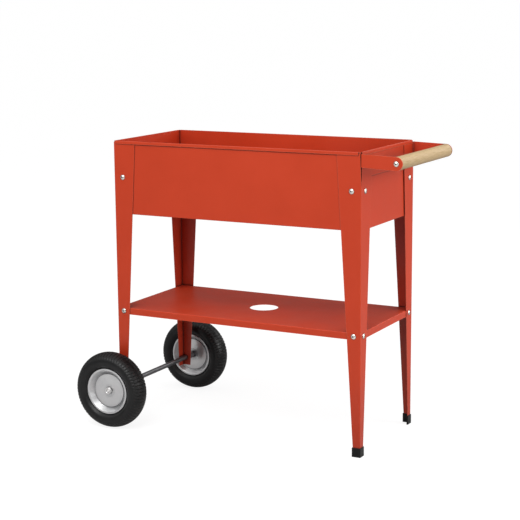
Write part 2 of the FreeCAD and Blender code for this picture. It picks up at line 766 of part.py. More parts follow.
def disc(label, side, flip):
    """A pressed dish: sunken face, cone, flat ring and rolled edge."""
    body = new_body(label)
    rim = d.rim_half
    back = d.skin
    sketch = draw_polygon(new_sketch(body, "XZ"), [
        (d.disc_bore, face_height),
        (d.dish_radius, face_height),
        (d.ring_radius, rim),
        (d.rim_radius, rim),
        (d.rim_radius, rim - d.rim_edge),
        (d.rim_radius - back, rim - d.rim_edge),
        (d.rim_radius - back, rim - back),
        (d.ring_radius + d.dish_shift, rim - back),
        (d.dish_radius + d.dish_shift, face_height - back),
        (d.disc_bore, face_height - back)])
    revolve(body, sketch)
    on_wheel(body, side, flip)


def tyre(label, side):
    """A round-crowned tyre that sits on the barrel between the two discs."""
    body = new_body(label)
    sketch = new_sketch(body, "XZ")
    # the shoulder arc touches the crown arc from inside and stands straight at the widest place
    crown_x = d.tyre_radius - d.crown_round
    step = (d.tyre_widest - crown_x).number
    half = d.tyre_half.number
    crown = d.crown_round.number
    shoulder = (crown * crown - step * step - half * half) / (2 * (crown - half))
    slope = math.atan2(half - shoulder, step)
    shoulder_y = half - shoulder
    low_angle = math.acos((d.bead_radius - d.tyre_widest).number / shoulder)
    up = FreeCAD.Vector(0, 0, 1)
    crown_circle = Part.Circle(FreeCAD.Vector(crown_x.number, 0, 0), up, crown)
    crown_arc = Part.ArcOfCircle(crown_circle, -slope, slope)
    arcs = [crown_arc]
    for mirror in (1, -1):
        middle = FreeCAD.Vector(d.tyre_widest.number, mirror * shoulder_y, 0)
        span = sorted((mirror * slope, mirror * low_angle))
        arcs.append(Part.ArcOfCircle(Part.Circle(middle, up, shoulder), *span))
    for arc in arcs:
        sketch.addGeometry(arc)
    bead_y = sketch.getPoint(1, 2).y
    inner = [(d.bead_radius, d.bead_step), (d.bead_toe, d.bead_step),
             (d.tyre_bore, d.bead_half), (d.tyre_bore, -d.bead_half),
             (d.bead_toe, -d.bead_step), (d.bead_radius, -d.bead_step)]
    outline = [FreeCAD.Vector(d.bead_radius.number, bead_y, 0)]
    outline += [FreeCAD.Vector(u.number, v.number, 0) for u, v in inner]
    outline.append(FreeCAD.Vector(d.bead_radius.number, -bead_y, 0))
    for here, there in zip(outline, outline[1:]):
        sketch.addGeometry(Part.LineSegment(here, there))
    revolve(body, sketch)
    on_wheel(body, side)


def turned_ring(label, side, outline):
    body = new_body(label)
    revolve(body, draw_polygon(new_sketch(body, "XZ"), outline))
    on_wheel(body, side)


bush_outline = [
    (d.bush_bore, ZERO), (d.hub_radius, ZERO), (d.hub_radius, -d.bush_flange),
    (d.bush_radius, -d.bush_flange), (d.bush_radius, -(d.bush_flange + d.bush_length)),
    (d.bush_bore, -(d.bush_flange + d.bush_length))]
bush_body = new_body("bush_pattern_piece")
revolve(bush_body, draw_polygon(new_sketch(bush_body, "XZ"), bush_outline))

for side, name in ((-1, "left"), (1, "right")):
    tyre("tyre_" + name, side)
    disc("outer_disc_" + name, side, 1)
    disc("inner_disc_" + name, side, -1)
    barrel_in = d.barrel_radius - d.skin
    turned_ring("rim_barrel_" + name, side, [
        (barrel_in, -d.barrel_half), (d.barrel_radius, -d.barrel_half),
        (d.barrel_radius, d.barrel_half), (barrel_in, d.barrel_half)])
    turned_ring("hub_tube_" + name, side, [
        (d.hub_bore, -d.hub_inner_end), (d.hub_radius, -d.hub_inner_end),
        (d.hub_radius, face_height), (d.hub_bore, face_height)])
    nodes.append(group("hub_bushes_" + name, bush_body, [
        along_axle(side, wheel_y + outer_bush_face),
        along_axle(side, wheel_y - inner_bush_face, towards=-1)]))


# ---------------------------------------------------------------- check and write
doc.recompute()
for thing in doc.Objects:
    if "Invalid" in thing.State or "Error" in thing.State:
        raise RuntimeError("%s did not recompute: %s" % (thing.Label, thing.State))
for node in nodes:
    if node.Shape.isNull() or not node.Shape.isValid():
        raise RuntimeError(node.Label + " has no valid shape")
    node.Shape.exportStep(os.path.join("parts", node.Label + ".step"))
    box = node.Shape.BoundBox
    print("%-18s %2d solids  %9.1f mm3  x %.1f..%.1f  y %.1f..%.1f  z %.1f..%.1f" % (
        node.Label, len(node.Shape.Solids), node.Shape.Volume,
        box.XMin, box.XMax, box.YMin, box.YMax, box.ZMin, box.ZMax))
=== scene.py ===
import math

import bmesh
import bpy
from mathutils import Matrix, Vector


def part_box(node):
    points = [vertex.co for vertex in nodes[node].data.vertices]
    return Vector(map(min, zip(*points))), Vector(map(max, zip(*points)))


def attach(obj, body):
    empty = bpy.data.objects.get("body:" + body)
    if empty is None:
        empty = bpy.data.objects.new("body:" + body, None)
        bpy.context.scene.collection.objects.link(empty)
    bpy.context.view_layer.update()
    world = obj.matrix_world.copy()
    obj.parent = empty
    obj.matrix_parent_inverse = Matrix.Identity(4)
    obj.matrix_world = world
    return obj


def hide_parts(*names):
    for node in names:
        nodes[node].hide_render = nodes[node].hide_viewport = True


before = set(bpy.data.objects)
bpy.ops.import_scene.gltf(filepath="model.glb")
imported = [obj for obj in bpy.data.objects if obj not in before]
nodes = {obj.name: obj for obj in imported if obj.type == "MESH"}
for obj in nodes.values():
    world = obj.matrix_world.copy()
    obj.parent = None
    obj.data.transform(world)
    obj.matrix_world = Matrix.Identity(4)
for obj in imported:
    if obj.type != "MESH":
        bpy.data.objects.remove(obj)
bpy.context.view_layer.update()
print("frame loaded:", len(nodes), "nodes")

mm = 0.001  # the piece lists are in millimetres, the scene is in metres


# small helpers for node trees

def addNode(tree, kind, values=None, **settings):
    node = tree.nodes.new("ShaderNode" + kind)
    for key, value in settings.items():
        setattr(node, key, value)
    for key, value in (values or {}).items():
        node.inputs[key].default_value = value
    return node


def newGroup(name, ins, outs):
    tree = bpy.data.node_groups.new(name, "ShaderNodeTree")
    for label, kind, value in ins:
        socket = tree.interface.new_socket(label, in_out="INPUT", socket_type="NodeSocket" + kind)
        socket.default_value = value
    for label, kind in outs:
        tree.interface.new_socket(label, in_out="OUTPUT", socket_type="NodeSocket" + kind)
    return tree, tree.nodes.new("NodeGroupInput"), tree.nodes.new("NodeGroupOutput")


def placeGroup(tree, group, values=None):
    node = tree.nodes.new("ShaderNodeGroup")
    node.node_tree = group
    for key, value in (values or {}).items():
        node.inputs[key].default_value = value
    return node


def newMaterial(name, **constants):
    material = bpy.data.materials.new(name)
    material.use_nodes = True
    tree = material.node_tree
    skin = tree.nodes["Principled BSDF"]
    for key, value in constants.items():
        skin.inputs[key].default_value = value
    return material, tree, skin


def mixColour(tree, factor, a, b):
    # a and b are sockets or plain colours
    node = addNode(tree, "Mix", data_type="RGBA")
    if isinstance(factor, float):
        node.inputs["Factor"].default_value = factor
    else:
        tree.links.new(factor, node.inputs["Factor"])
    for key, value in (("A", a), ("B", b)):
        if isinstance(value, tuple):
            node.inputs[key].default_value = (*value, 1)
        else:
            tree.links.new(value, node.inputs[key])
    return node.outputs["Result"]


def spread(tree, value, low, high, toLow=0.0, toHigh=1.0):
    node = addNode(tree, "MapRange", {"From Min": low, "From Max": high, "To Min": toLow, "To Max": toHigh})
    tree.links.new(value, node.inputs["Value"])
    return node.outputs["Result"]


def bumpFrom(tree, height, strength, distance, under=None):
    node = addNode(tree, "Bump", {"Strength": strength, "Distance": distance})
    tree.links.new(height, node.inputs["Height"])
    if under is not None:
        tree.links.new(under, node.inputs["Normal"])
    return node.outputs["Normal"]


# effects that several finishes share

def makePaintedEdgeLight():
    # mask for painted light where the surface turns sharply, broken up by noise: a painted highlight on most
    # finishes, a painted sheen on the tyre and painted shade on the grip's ends
    tree, start, end = newGroup("paintedEdgeLight", [
        ("Width", "Float", 0.0006), ("Breakup Scale", "Float", 120.0), ("Amount", "Float", 0.5),
    ], [("Mask", "Float")])
    soft = addNode(tree, "Bevel", samples=6)
    flat = addNode(tree, "NewGeometry")
    turn = addNode(tree, "VectorMath", operation="DOT_PRODUCT")
    coords = addNode(tree, "TexCoord")
    blotch = addNode(tree, "TexNoise", {"Detail": 3.0, "Roughness": 0.6})
    amount = addNode(tree, "Math", operation="MULTIPLY")
    mask = addNode(tree, "Math", operation="MULTIPLY", use_clamp=True)
    link = tree.links.new
    link(start.outputs["Width"], soft.inputs["Radius"])
    link(soft.outputs["Normal"], turn.inputs[0])
    link(flat.outputs["Normal"], turn.inputs[1])
    link(coords.outputs["Object"], blotch.inputs["Vector"])
    link(start.outputs["Breakup Scale"], blotch.inputs["Scale"])
    edge = spread(tree, turn.outputs["Value"], 0.995, 0.80)
    link(spread(tree, blotch.outputs["Fac"], 0.30, 0.60, 0.45, 1.0), amount.inputs[0])
    link(start.outputs["Amount"], amount.inputs[1])
    link(edge, mask.inputs[0])
    link(amount.outputs["Value"], mask.inputs[1])
    link(mask.outputs["Value"], end.inputs["Mask"])
    return tree


def makeSettledDust():
    # Lean 1 keeps it on faces that look up, 0 spreads it everywhere
    tree, start, end = newGroup("settledDust", [
        ("Scale", "Float", 14.0), ("Lean", "Float", 1.0), ("Amount", "Float", 0.1),
    ], [("Mask", "Float")])
    coords = addNode(tree, "TexCoord")
    split = addNode(tree, "SeparateXYZ")
    cloud = addNode(tree, "TexNoise", {"Detail": 6.0, "Roughness": 0.65})
    lean = addNode(tree, "Mix", {"A": 1.0}, data_type="FLOAT")
    onUp = addNode(tree, "Math", operation="MULTIPLY")
    mask = addNode(tree, "Math", operation="MULTIPLY", use_clamp=True)
    link = tree.links.new
    link(coords.outputs["Normal"], split.inputs["Vector"])
    link(coords.outputs["Object"], cloud.inputs["Vector"])
    link(start.outputs["Scale"], cloud.inputs["Scale"])
    link(start.outputs["Lean"], lean.inputs["Factor"])
    link(spread(tree, split.outputs["Z"], 0.35, 0.95), lean.inputs["B"])
    link(lean.outputs["Result"], onUp.inputs[0])
    link(spread(tree, cloud.outputs["Fac"], 0.35, 0.70), onUp.inputs[1])
    link(onUp.outputs["Value"], mask.inputs[0])
    link(start.outputs["Amount"], mask.inputs[1])
    link(mask.outputs["Value"], end.inputs["Mask"])
    return tree


def makeFineGrain():
    # Stretch makes the grain longer along an axis when that number is smaller
    tree, start, end = newGroup("fineGrain", [
        ("Scale", "Float", 600.0), ("Stretch", "Vector", (1, 1, 1)), ("Detail", "Float", 2.0),
    ], [("Height", "Float"), ("Tone", "Float")])
    coords = addNode(tree, "TexCoord")
    pull = addNode(tree, "VectorMath", operation="MULTIPLY")
    grain = addNode(tree, "TexNoise", {"Roughness": 0.55})
    tone = addNode(tree, "TexNoise", {"Scale": 9.0, "Detail": 4.0, "Roughness": 0.5})
    link = tree.links.new
    link(coords.outputs["Object"], pull.inputs[0])
    link(start.outputs["Stretch"], pull.inputs[1])
    link(pull.outputs["Vector"], grain.inputs["Vector"])
    link(pull.outputs["Vector"], tone.inputs["Vector"])
    link(start.outputs["Scale"], grain.inputs["Scale"])
    link(start.outputs["Detail"], grain.inputs["Detail"])
    link(grain.outputs["Fac"], end.inputs["Height"])
    link(spread(tree, tone.outputs["Fac"], 0.30, 0.70), end.inputs["Tone"])
    return tree


def makeJointShade():
    # painted shade, darker in slits, sockets and corners where less light reaches: starts below Open and is
    # full at Closed
    tree, start, end = newGroup("jointShade", [
        ("Reach", "Float", 0.004), ("Amount", "Float", 0.7),
        ("Open", "Float", 0.92), ("Closed", "Float", 0.42),
    ], [("Mask", "Float")])
    airy = addNode(tree, "AmbientOcclusion", samples=8)
    depth = addNode(tree, "MapRange", {"To Min": 0.0, "To Max": 1.0})
    mask = addNode(tree, "Math", operation="MULTIPLY", use_clamp=True)
    link = tree.links.new
    link(start.outputs["Reach"], airy.inputs["Distance"])
    link(airy.outputs["AO"], depth.inputs["Value"])
    link(start.outputs["Open"], depth.inputs["From Min"])
    link(start.outputs["Closed"], depth.inputs["From Max"])
    link(depth.outputs["Result"], mask.inputs[0])
    link(start.outputs["Amount"], mask.inputs[1])
    link(mask.outputs["Value"], end.inputs["Mask"])
    return tree


paintedEdgeLight = makePaintedEdgeLight()
jointShade = makeJointShade()
settledDust = makeSettledDust()
fineGrain = makeFineGrain()
print("shared shader groups ready")


# finishes

powderCoat = {
    "deep": (0.640, 0.050, 0.011),
    "light": (0.680, 0.055, 0.013),
    # painted highlight along the rims and other sharp edges
    "edge": (0.960, 0.270, 0.160),
    "dust": (0.55, 0.42, 0.34),
    # painted shade in slits, under lips and round the bolts
    "creviceShade": (0.045, 0.003, 0.001),
    "seamShade": (0.120, 0.007, 0.003),  # painted shade in the narrow seams where two pieces meet
    "hollow": (0.230, 0.010, 0.003),  # painted shade inside the trough, under it and deep in the folds, where less light reaches
    "edges": {"Width": 0.0014, "Amount": 0.9},
    "joints": {"Reach": 0.013, "Amount": 0.9, "Open": 0.66, "Closed": 0.25},
    "seams": {"Reach": 0.0045, "Amount": 0.7, "Open": 0.97, "Closed": 0.72},
    "hollows": {"Reach": 0.360, "Amount": 0.66, "Open": 0.85, "Closed": 0.30},
    "settled": {"Amount": 0.05},
    "peel": {"Scale": 750.0, "Detail": 1.5},  # the orange peel of the sprayed coat
    "peelDepth": 0.00004,
}


def makePowderCoat():
    coat = powderCoat
    material, tree, skin = newMaterial("redPowderCoat", IOR=1.5)
    link = tree.links.new
    grain = placeGroup(tree, fineGrain, coat["peel"])
    edges = placeGroup(tree, paintedEdgeLight, coat["edges"])
    dust = placeGroup(tree, settledDust, coat["settled"])
    body = mixColour(tree, grain.outputs["Tone"], coat["deep"], coat["light"])
    creviceShade = placeGroup(tree, jointShade, coat["joints"])
    seamShade = placeGroup(tree, jointShade, coat["seams"])
    hollow = placeGroup(tree, jointShade, coat["hollows"])
    edged = mixColour(tree, edges.outputs["Mask"], body, coat["edge"])
    dusty = mixColour(tree, dust.outputs["Mask"], edged, coat["dust"])
    shaded = mixColour(tree, hollow.outputs["Mask"], dusty, coat["hollow"])
    lined = mixColour(tree, seamShade.outputs["Mask"], shaded, coat["seamShade"])
    link(mixColour(tree, creviceShade.outputs["Mask"], lined, coat["creviceShade"]), skin.inputs["Base Color"])
    link(spread(tree, grain.outputs["Tone"], 0.0, 1.0, 0.36, 0.44), skin.inputs["Roughness"])
    link(bumpFrom(tree, grain.outputs["Height"], 0.35, coat["peelDepth"]), skin.inputs["Normal"])
    return material


zincPlate = {
    "deep": (0.60, 0.60, 0.61),
    "light": (0.74, 0.74, 0.74),
    "spangle": 95.0,  # the crystal pattern of hot zinc
    "smooth": 0.28,
    "rough": 0.40,
    # painted highlight along the discs' rolled edges and other sharp edges
    "edge": (0.86, 0.86, 0.87),
    # painted shade at the foot of the cone and in other corners
    "corner": (0.10, 0.10, 0.11),
    "edges": {"Width": 0.0008, "Amount": 0.5},
    "corners": {"Reach": 0.018, "Amount": 1.0, "Open": 0.90, "Closed": 0.50},
}


def makeZincPlate():
    plate = zincPlate
    material, tree, skin = newMaterial("pressedZincPlate", Metallic=1.0)
    link = tree.links.new
    coords = addNode(tree, "TexCoord")
    cells = addNode(tree, "TexVoronoi", {"Scale": plate["spangle"], "Randomness": 1.0})
    grain = placeGroup(tree, fineGrain, {"Scale": 420.0, "Detail": 3.0})
    edges = placeGroup(tree, paintedEdgeLight, plate["edges"])
    link(coords.outputs["Object"], cells.inputs["Vector"])
    flake = addNode(tree, "SeparateColor")
    link(cells.outputs["Color"], flake.inputs["Color"])
    shade = addNode(tree, "Mix", {"Factor": 0.22}, data_type="FLOAT")
    link(grain.outputs["Tone"], shade.inputs["A"])
    link(flake.outputs["Red"], shade.inputs["B"])
    body = mixColour(tree, shade.outputs["Result"], plate["deep"], plate["light"])
    corner = placeGroup(tree, jointShade, plate["corners"])
    edged = mixColour(tree, edges.outputs["Mask"], body, plate["edge"])
    link(mixColour(tree, corner.outputs["Mask"], edged, plate["corner"]), skin.inputs["Base Color"])
    gloss = spread(tree, shade.outputs["Result"], 0.0, 1.0, plate["rough"], plate["smooth"])
    link(gloss, skin.inputs["Roughness"])
    link(bumpFrom(tree, grain.outputs["Height"], 0.25, 0.00003), skin.inputs["Normal"])
    return material


brightSteel = {
    "name": "brightPlatedSteel",
    "deep": (0.74, 0.71, 0.66),
    "light": (0.88, 0.85, 0.80),
    "rough": 0.24,
    "marks": {"Scale": 500.0, "Detail": 3.0, "Stretch": (1, 1, 1)},
    "markDepth": 0.00002,
}

satinSteel = {
    "name": "satinPlatedCap",
    "deep": (0.90, 0.89, 0.88),
    "light": (0.97, 0.96, 0.95),
    "rough": 0.36,
    "marks": {"Scale": 400.0, "Detail": 3.0, "Stretch": (1, 1, 1)},
    "markDepth": 0.00002,
}

drawnSteel = {
    "name": "drawnSteelBar",
    "deep": (0.21, 0.21, 0.22),
    "light": (0.30, 0.30, 0.31),
    "rough": 0.38,
    "marks": {"Scale": 900.0, "Detail": 3.0, "Stretch": (1, 0.03, 1)},
    "markDepth": 0.00004,
}

steelWearAndShading = {
    # painted highlight along the heads' and caps' edges
    "edge": (0.9, 0.9, 0.9),
    "dust": (0.20, 0.18, 0.16),
    # painted shade in the hex sockets and other recesses
    "socket": (0.02, 0.02, 0.02),
    "edges": {"Width": 0.0004, "Amount": 0.6, "Breakup Scale": 300.0},
    "settled": {"Amount": 0.12, "Scale": 60.0, "Lean": 0.5},
    "sockets": {"Reach": 0.004, "Amount": 0.95},
}


def makePlated(steel):
    wearAndShading = steelWearAndShading
    material, tree, skin = newMaterial(steel["name"], Metallic=1.0)
    link = tree.links.new
    marks = placeGroup(tree, fineGrain, steel["marks"])
    edges = placeGroup(tree, paintedEdgeLight, wearAndShading["edges"])
    dust = placeGroup(tree, settledDust, wearAndShading["settled"])
    socket = placeGroup(tree, jointShade, wearAndShading["sockets"])
    body = mixColour(tree, marks.outputs["Tone"], steel["deep"], steel["light"])
    edged = mixColour(tree, edges.outputs["Mask"], body, wearAndShading["edge"])
    dusty = mixColour(tree, dust.outputs["Mask"], edged, wearAndShading["dust"])
    link(mixColour(tree, socket.outputs["Mask"], dusty, wearAndShading["socket"]), skin.inputs["Base Color"])
    gloss = spread(tree, marks.outputs["Height"], 0.3, 0.7, steel["rough"] * 0.75, steel["rough"] * 1.3)
    link(gloss, skin.inputs["Roughness"])
    link(bumpFrom(tree, marks.outputs["Height"], 0.3, steel["markDepth"]), skin.inputs["Normal"])
    return material


tyreRubber = {
    "deep": (0.0016, 0.0016, 0.0018),
    "light": (0.0080, 0.0080, 0.0085),
    # grey of the scuffs, also used for the painted sheen along the ribs' edges on the crown
    "scuffAndSheen": (0.060, 0.057, 0.054),
    # painted shade in the grooves between the ribs and in the moulded lines
    "groove": (0.0008, 0.0008, 0.0009),
    "skin": {"Scale": 900.0, "Detail": 3.0},
    "edges": {"Width": 0.0012, "Amount": 0.8, "Breakup Scale": 180.0},
    "scuffs": {"Amount": 0.07, "Scale": 26.0, "Lean": 0.0},
    "grooveShading": {"Reach": 0.004, "Amount": 0.9, "Open": 0.97, "Closed": 0.70},
}


def makeRubber():
    rubber = tyreRubber
    material, tree, skin = newMaterial("tyreRubberBlack", IOR=1.40)
    link = tree.links.new
    grain = placeGroup(tree, fineGrain, rubber["skin"])
    edges = placeGroup(tree, paintedEdgeLight, rubber["edges"])
    scuffs = placeGroup(tree, settledDust, rubber["scuffs"])
    groove = placeGroup(tree, jointShade, rubber["grooveShading"])
    body = mixColour(tree, grain.outputs["Tone"], rubber["deep"], rubber["light"])
    edged = mixColour(tree, edges.outputs["Mask"], body, rubber["scuffAndSheen"])
    scuffed = mixColour(tree, scuffs.outputs["Mask"], edged, rubber["scuffAndSheen"])
    link(mixColour(tree, groove.outputs["Mask"], scuffed, rubber["groove"]), skin.inputs["Base Color"])
    link(spread(tree, grain.outputs["Tone"], 0.0, 1.0, 0.32, 0.45), skin.inputs["Roughness"])
    link(bumpFrom(tree, grain.outputs["Height"], 0.4, 0.00008), skin.inputs["Normal"])
    return material


blackPlastic = {
    "deep": (0.002, 0.002, 0.002),
    "light": (0.004, 0.004, 0.004),
    # painted highlight along the caps' edges
    "edge": (0.055, 0.055, 0.058),
    "dust": (0.16, 0.15, 0.14),
    "skin": {"Scale": 1400.0, "Detail": 2.0},
    "edges": {"Width": 0.0008, "Amount": 0.5, "Breakup Scale": 150.0},
    "settled": {"Amount": 0.10, "Scale": 40.0, "Lean": 0.4},
}


def makePlastic():
    plastic = blackPlastic
    material, tree, skin = newMaterial("blackMouldedPlastic", IOR=1.33)
    link = tree.links.new
    grain = placeGroup(tree, fineGrain, plastic["skin"])
    edges = placeGroup(tree, paintedEdgeLight, plastic["edges"])
    dust = placeGroup(tree, settledDust, plastic["settled"])
    body = mixColour(tree, grain.outputs["Tone"], plastic["deep"], plastic["light"])
    edged = mixColour(tree, edges.outputs["Mask"], body, plastic["edge"])
    link(mixColour(tree, dust.outputs["Mask"], edged, plastic["dust"]), skin.inputs["Base Color"])
    link(spread(tree, grain.outputs["Height"], 0.3, 0.7, 0.34, 0.46), skin.inputs["Roughness"])
    link(bumpFrom(tree, grain.outputs["Height"], 0.5, 0.00008), skin.inputs["Normal"])
    return material


gripWood = {
    "pale": (0.630, 0.465, 0.255),
    "dark": (0.390, 0.245, 0.110),
    "pore": (0.300, 0.180, 0.085),
    "pith": (0.011, 0.0, -0.031),  # the growth rings' centre, off the stick's own
    "ringPitch": 0.0021,
    "bend": (60.0, 3.0, 60.0),  # how fast the rings wander across and along the stick
    "wander": 0.0035,
    "fibres": {"Scale": 60.0, "Detail": 5.0, "Stretch": (14.0, 0.5, 14.0)},
    "pores": {"Scale": 90.0, "Detail": 2.0, "Stretch": (16.0, 1.3, 16.0)},
    "edges": {"Width": 0.002, "Amount": 0.35, "Breakup Scale": 200.0},
}


def makeWood():
    wood = gripWood
    material, tree, skin = newMaterial("beechGrip", IOR=1.45)
    link = tree.links.new
    low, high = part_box("handle_grip")
    middle = (low + high) / 2
    coords = addNode(tree, "TexCoord")
    pith = tuple(a + b for a, b in zip(middle, wood["pith"]))
    fromPith = addNode(tree, "VectorMath", {1: pith}, operation="SUBTRACT")
    bend = addNode(tree, "TexNoise", {"Scale": 1.0, "Detail": 2.0})
    pull = addNode(tree, "VectorMath", {1: wood["bend"]}, operation="MULTIPLY")
    link(coords.outputs["Object"], fromPith.inputs[0])
    link(coords.outputs["Object"], pull.inputs[0])
    link(pull.outputs["Vector"], bend.inputs["Vector"])
    across = addNode(tree, "VectorMath", {1: (1.0, 0.0, 1.0)}, operation="MULTIPLY")
    reach = addNode(tree, "VectorMath", operation="LENGTH")
    link(fromPith.outputs["Vector"], across.inputs[0])
    link(across.outputs["Vector"], reach.inputs[0])
    drift = addNode(tree, "Math", {1: wood["wander"]}, operation="MULTIPLY_ADD")
    link(bend.outputs["Fac"], drift.inputs[0])
    link(reach.outputs["Value"], drift.inputs[2])
    wave = addNode(tree, "Math", {1: math.tau / wood["ringPitch"]}, operation="MULTIPLY")
    rings = addNode(tree, "Math", operation="SINE")
    link(drift.outputs["Value"], wave.inputs[0])
    link(wave.outputs["Value"], rings.inputs[0])
    fibre = placeGroup(tree, fineGrain, wood["fibres"])
    pores = placeGroup(tree, fineGrain, wood["pores"])
    edges = placeGroup(tree, paintedEdgeLight, wood["edges"])
    ringMask = spread(tree, rings.outputs["Value"], -0.4, 1.0, 0.0, 0.42)
    body = mixColour(tree, ringMask, wood["pale"], wood["dark"])
    streakMask = spread(tree, fibre.outputs["Height"], 0.42, 0.68, 0.0, 0.65)
    streaked = mixColour(tree, streakMask, body, wood["dark"])
    poreMask = spread(tree, pores.outputs["Height"], 0.66, 0.74, 0.0, 0.5)
    pored = mixColour(tree, poreMask, streaked, wood["pore"])
    # painted shade on the grip's rounded ends and hole edges, in the wood's dark colour
    link(mixColour(tree, edges.outputs["Mask"], pored, wood["dark"]), skin.inputs["Base Color"])
    link(spread(tree, fibre.outputs["Height"], 0.3, 0.7, 0.46, 0.60), skin.inputs["Roughness"])
    link(bumpFrom(tree, fibre.outputs["Height"], 0.35, 0.00012), skin.inputs["Normal"])
    return material


redPowderCoat = makePowderCoat()
pressedZinc = makeZincPlate()
brightPlate = makePlated(brightSteel)
satinPlate = makePlated(satinSteel)
drawnBar = makePlated(drawnSteel)
rubberBlack = makeRubber()
plasticBlack = makePlastic()
beech = makeWood()
print("finishes ready")


# finishes of the CAD parts

cadFinish = [  # the start of the node's name and its finish
    ("side_panel", redPowderCoat),
    ("end_panel", redPowderCoat),
    ("trough_floor", redPowderCoat),
    ("leg", redPowderCoat),
    ("shelf_", brightPlate),
    ("shelf", redPowderCoat),
    ("handle_bracket", redPowderCoat),
    ("handle_grip", beech),
    ("handle_screws", brightPlate),
    ("trough_", brightPlate),
    ("axle_caps", satinPlate),
    ("axle", drawnBar),
    ("foot_cap", plasticBlack),
    ("tyre", rubberBlack),
    ("outer_disc", pressedZinc),
    ("inner_disc", pressedZinc),
    ("rim_barrel", pressedZinc),
    ("hub_tube", pressedZinc),
    ("hub_bushes", plasticBlack),
]


def finishCad():
    for name, node in nodes.items():
        finish = next(f for start, f in cadFinish if name.startswith(start))
        node.data.materials.clear()
        node.data.materials.append(finish)


finishCad()
print("CAD parts finished")


# turned pieces

def roundCorners(points, radius, steps=5):
    # each inner point of an open line becomes a small arc
    line = [points[0]]
    for before, here, after in zip(points, points[1:], points[2:]):
        a, b, c = Vector(before), Vector(here), Vector(after)
        room = min(radius, (a - b).length * 0.45, (c - b).length * 0.45)
        start = b + (a - b).normalized() * room
        end = b + (c - b).normalized() * room
        for i in range(steps + 1):
            t = i / steps
            line.append(tuple(start * (1 - t) ** 2 + b * 2 * t * (1 - t) + end * t * t))
    line.append(points[-1])
    return line


def thicken(line, skin):
    # closes an open line into a strip of that thickness, on its right-hand side
    points = [Vector(p) for p in line]
    back = []
    for i, here in enumerate(points):
        along = points[min(i + 1, len(points) - 1)] - points[max(i - 1, 0)]
        back.append(tuple(here + Vector((along.y, -along.x)).normalized() * skin))
    return list(line) + back[::-1]


def ringFaces(steps, count, rows):
    # quads between each column of count points and the next, all the way round
    faces = []
    for step in range(steps):
        here, there = step * count, (step + 1) % steps * count
        for row in range(rows):
            above = (row + 1) % count
            faces.append((here + row, there + row, there + above, here + above))
    return faces


def turnedMesh(name, outline, steps, closed=True):
    # outline is (radius, height) in mm, turned about the local Z axis
    verts = []
    for step in range(steps):
        angle = math.tau * step / steps
        for radius, height in outline:
            verts.append((radius * mm * math.cos(angle), radius * mm * math.sin(angle), height * mm))
    rows = len(outline) if closed else len(outline) - 1
    mesh = bpy.data.meshes.new(name)
    mesh.from_pydata(verts, [], ringFaces(steps, len(outline), rows))
    return mesh


def bakeTurn(mesh, places):
    # one mesh with a copy at each place, so that the piece keeps a simple position
    corners = [v.co.copy() for v in mesh.vertices]
    polygons = [tuple(p.vertices) for p in mesh.polygons]
    verts, faces = [], []
    for place in places:
        offset = len(verts)
        verts += [place @ c for c in corners]
        faces += [tuple(offset + i for i in f) for f in polygons]
    name = mesh.name
    bpy.data.meshes.remove(mesh)
    whole = bpy.data.meshes.new(name)
    whole.from_pydata([tuple(v) for v in verts], [], faces)
    return whole


def showPiece(mesh, finish, body, stands, creaseAngle=40):
    mesh.materials.append(finish)
    mesh.polygons.foreach_set("use_smooth", [True] * len(mesh.polygons))
    piece = bpy.data.objects.new(mesh.name, mesh)
    bpy.context.scene.collection.objects.link(piece)
    mesh.validate()
    closeMesh(mesh)
    mesh.set_sharp_from_angle(angle=math.radians(creaseAngle))
    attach(piece, body)
    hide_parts(*stands)
    return piece


def closeMesh(mesh):
    # joins the points that meet on a turned piece's axis and turns every face outwards
    bm = bmesh.new()
    bm.from_mesh(mesh)
    bmesh.ops.remove_doubles(bm, verts=bm.verts, dist=0.000002)
    bmesh.ops.recalc_face_normals(bm, faces=bm.faces)
    bm.to_mesh(mesh)
    bm.free()


def outwards(side, centre):
    # local Z points away from the trolley along Y
    across = Matrix(((1, 0, 0), (0, 0, side), (0, -side, 0))).to_4x4()
    return Matrix.Translation(centre) @ across


def centreOf(node):
    low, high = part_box(node)
    return (low + high) / 2


sides = (("left", -1), ("right", 1))


# tyres: round crown with cross ribs, moulded lines on the wall

tyre = {
    "radius": 108.0,
    "halfWidth": 33.0,
    "widest": 84.0,  # radius where the wall is widest
    "crownRound": 44.0,
    "bead": 65.9,  # where the wall meets the rim
    "bore": 56.35,
    "ribs": 68,
    "ribDepth": 1.5,
    "ribFrom": 92.0,  # ribs run out towards the wall here
    "ribFull": 100.0,
    "ribShape": [  # place within one rib's pitch, share of the groove's depth
        (0.0, 0.0), (0.22, 0.0), (0.44, 0.0), (0.66, 0.0), (0.74, 0.85), (0.83, 1.0), (0.92, 0.85),
    ],
    "centreGroove": 1.5,
    "grooveHalf": 0.9,
    "grooveLip": 0.02,
    "wallLines": [(88.0, 0.7), (70.5, 0.9)],  # radius and depth of the moulded lines
    "lineHalf": 0.9,
    "barrelHalf": 18.0,  # half the width of the seat on the rim
    "crownSteps": 10,
    "wallSteps": 24,
    "creaseAngle": 55,
}


def tyreLine():
    # one half of the section from the crown's middle to the bead, as (radius, height)
    crownX = tyre["radius"] - tyre["crownRound"]
    step = tyre["widest"] - crownX
    half, crown = tyre["halfWidth"], tyre["crownRound"]
    shoulder = (crown * crown - step * step - half * half) / (2 * (crown - half))
    slope = math.atan2(half - shoulder, step)
    lowest = math.acos((tyre["bead"] - tyre["widest"]) / shoulder)
    line = []
    for i in range(tyre["crownSteps"] + 1):
        a = slope * i / tyre["crownSteps"]
        line.append((crownX + crown * math.cos(a), crown * math.sin(a)))
    for i in range(1, tyre["wallSteps"] + 1):
        a = slope + (lowest - slope) * i / tyre["wallSteps"]
        line.append((tyre["widest"] + shoulder * math.cos(a), half - shoulder + shoulder * math.sin(a)))
    return line


